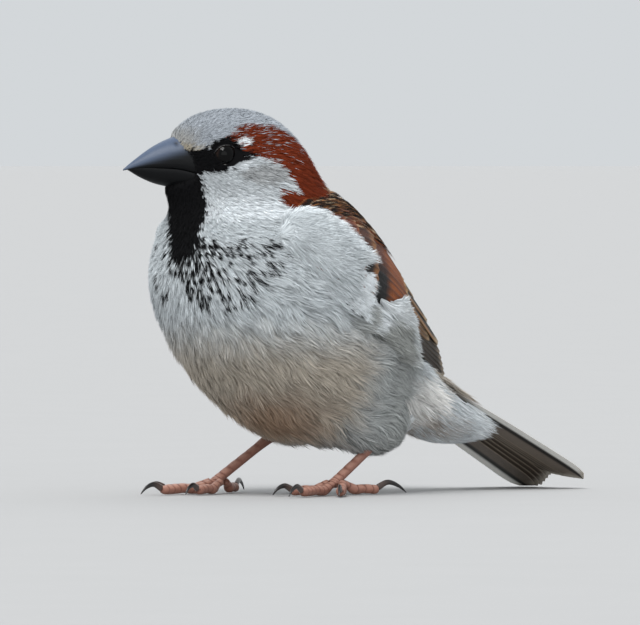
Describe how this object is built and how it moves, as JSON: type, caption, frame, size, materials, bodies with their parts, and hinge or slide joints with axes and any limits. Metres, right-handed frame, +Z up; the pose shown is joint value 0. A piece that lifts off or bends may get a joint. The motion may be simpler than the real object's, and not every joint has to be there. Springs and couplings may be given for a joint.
{
  "type": "male house sparrow",
  "caption": "Life-size male house sparrow standing at rest, plump, grey crown, chestnut nape, black bib, short conical bill, head turned a little aside.",
  "frame": {"origin": "on the floor, under the middle of the bounding box", "axes": "the bird faces -Y, its tail points to +Y, its left side is +X and +Z is up"},
  "size_m": [0.0494, 0.1122, 0.0822],
  "materials": {
    "head_plumage": "soft, short matte feathers",
    "body_plumage": "loose, soft matte feathers",
    "rump_plumage": "loose, soft matte feathers",
    "wing_feathers": "smooth, satin vanes",
    "tail_feathers": "smooth, satin vanes",
    "horn": "polished horn",
    "leg_skin": "scaled skin, slightly shiny",
    "eye": "wet, glossy"
  },
  "bodies": {
    "root": {"head": "head_plumage", "neck": "head_plumage", "trunk": "body_plumage", "rump": "rump_plumage", "thigh_left": "body_plumage", "thigh_right": "body_plumage", "wing_left_coverts": "wing_feathers", "wing_left_secondaries": "wing_feathers", "wing_left_primaries": "wing_feathers", "wing_right_coverts": "wing_feathers", "wing_right_secondaries": "wing_feathers", "wing_right_primaries": "wing_feathers", "tail_left": "tail_feathers", "tail_right": "tail_feathers", "upper_bill": "horn", "lower_bill": "horn", "eye_left": "eye", "eye_right": "eye", "tarsus_left": "leg_skin", "tarsus_right": "leg_skin", "toe_left_hind": "leg_skin", "toe_left_inner": "leg_skin", "toe_left_middle": "leg_skin", "toe_left_outer": "leg_skin", "toe_right_hind": "leg_skin", "toe_right_inner": "leg_skin", "toe_right_middle": "leg_skin", "toe_right_outer": "leg_skin", "claw_left_hind": "horn", "claw_left_inner": "horn", "claw_left_middle": "horn", "claw_left_outer": "horn", "claw_right_hind": "horn", "claw_right_inner": "horn", "claw_right_middle": "horn", "claw_right_outer": "horn"}
  },
  "joints": []
}
